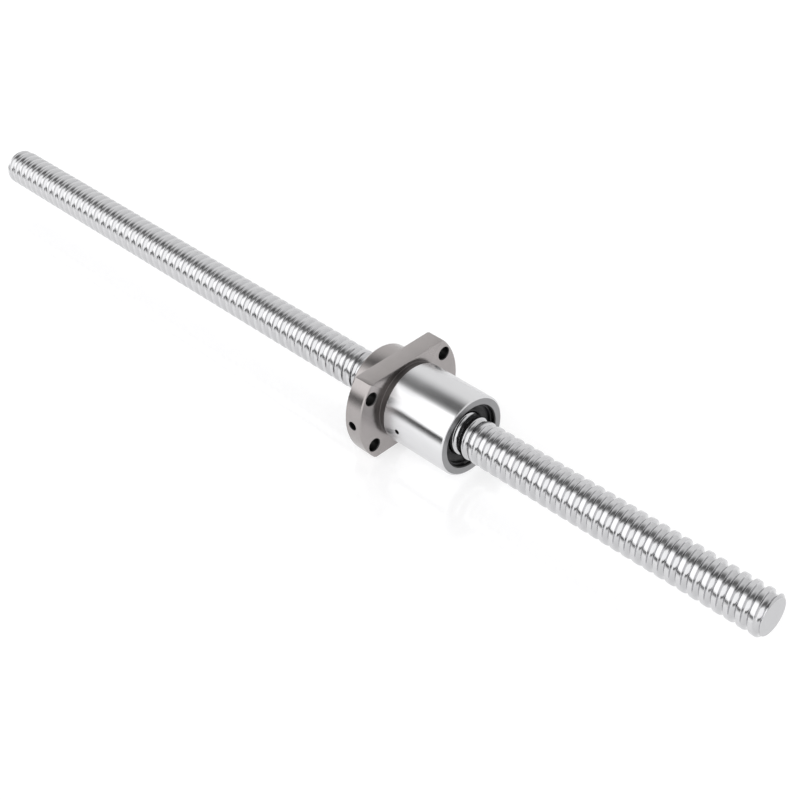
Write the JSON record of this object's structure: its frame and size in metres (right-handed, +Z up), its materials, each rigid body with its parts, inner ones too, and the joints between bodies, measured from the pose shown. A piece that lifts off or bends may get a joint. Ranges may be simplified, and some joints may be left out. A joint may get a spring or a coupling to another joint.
{
  "type": "ball screw",
  "caption": "Ball screw: a threaded shaft with a two-flat flanged ball nut, steel balls, return deflectors, wipers and a lubrication port.",
  "frame": {"origin": "centre of the shaft's rear end face, on the screw axis", "axes": "+X along the shaft towards the nut's open front face, +Z up out of the flange's upper flat, +Y across the flange's two lobes"},
  "size_m": [0.372, 0.0446, 0.03],
  "materials": {
    "thread_steel": "bright rolled and polished thread, fine circumferential polish lines",
    "nut_steel": "ground and polished body, matte turned flange and collar",
    "wiper_plastic": "black moulded plastic, slight sheen",
    "ring_steel": "blackened spring steel",
    "deflector_plastic": "black moulded plastic",
    "black_screw_steel": "black oxide",
    "ball_steel": "polished bearing balls"
  },
  "bodies": {
    "shaft": {"screw_shaft": "thread_steel"},
    "ring_carrier": {"front_retaining_ring": "ring_steel", "rear_retaining_ring": "ring_steel"},
    "nut": {"nut_body": "nut_steel", "front_wiper": "wiper_plastic", "rear_wiper": "wiper_plastic", "front_deflector": "deflector_plastic", "rear_deflector": "deflector_plastic", "deflector_lock_screw": "black_screw_steel", "port_plug": "black_screw_steel", "ball_01": "ball_steel", "ball_02": "ball_steel", "ball_03": "ball_steel", "ball_04": "ball_steel", "ball_05": "ball_steel", "ball_06": "ball_steel", "ball_07": "ball_steel", "ball_08": "ball_steel", "ball_09": "ball_steel", "ball_10": "ball_steel", "ball_11": "ball_steel", "ball_12": "ball_steel", "ball_13": "ball_steel", "ball_14": "ball_steel", "ball_15": "ball_steel", "ball_16": "ball_steel", "ball_17": "ball_steel", "ball_18": "ball_steel", "ball_19": "ball_steel", "ball_20": "ball_steel", "ball_21": "ball_steel", "ball_22": "ball_steel", "ball_23": "ball_steel", "ball_24": "ball_steel", "ball_25": "ball_steel", "ball_26": "ball_steel", "ball_27": "ball_steel", "ball_28": "ball_steel", "ball_29": "ball_steel", "ball_30": "ball_steel", "ball_31": "ball_steel", "ball_32": "ball_steel", "ball_33": "ball_steel", "ball_34": "ball_steel", "ball_35": "ball_steel", "ball_36": "ball_steel", "ball_37": "ball_steel", "ball_38": "ball_steel", "ball_39": "ball_steel", "ball_40": "ball_steel"}
  },
  "joints": [
    {"name": "nut_travel", "type": "slide", "parent": "shaft", "child": "ring_carrier", "axis": [1, 0, 0], "range_m": [-0.2121, 0.1061]},
    {"name": "nut_spin", "type": "hinge", "parent": "ring_carrier", "child": "nut", "pos_m": [0.2386, 0, 0], "axis": [1, 0, 0], "range_deg": [-19080, 9540]}
  ],
  "couplings": [
    {"joint": "nut_travel", "follows": "nut_spin", "m_per_rad": 0.00063662}
  ]
}
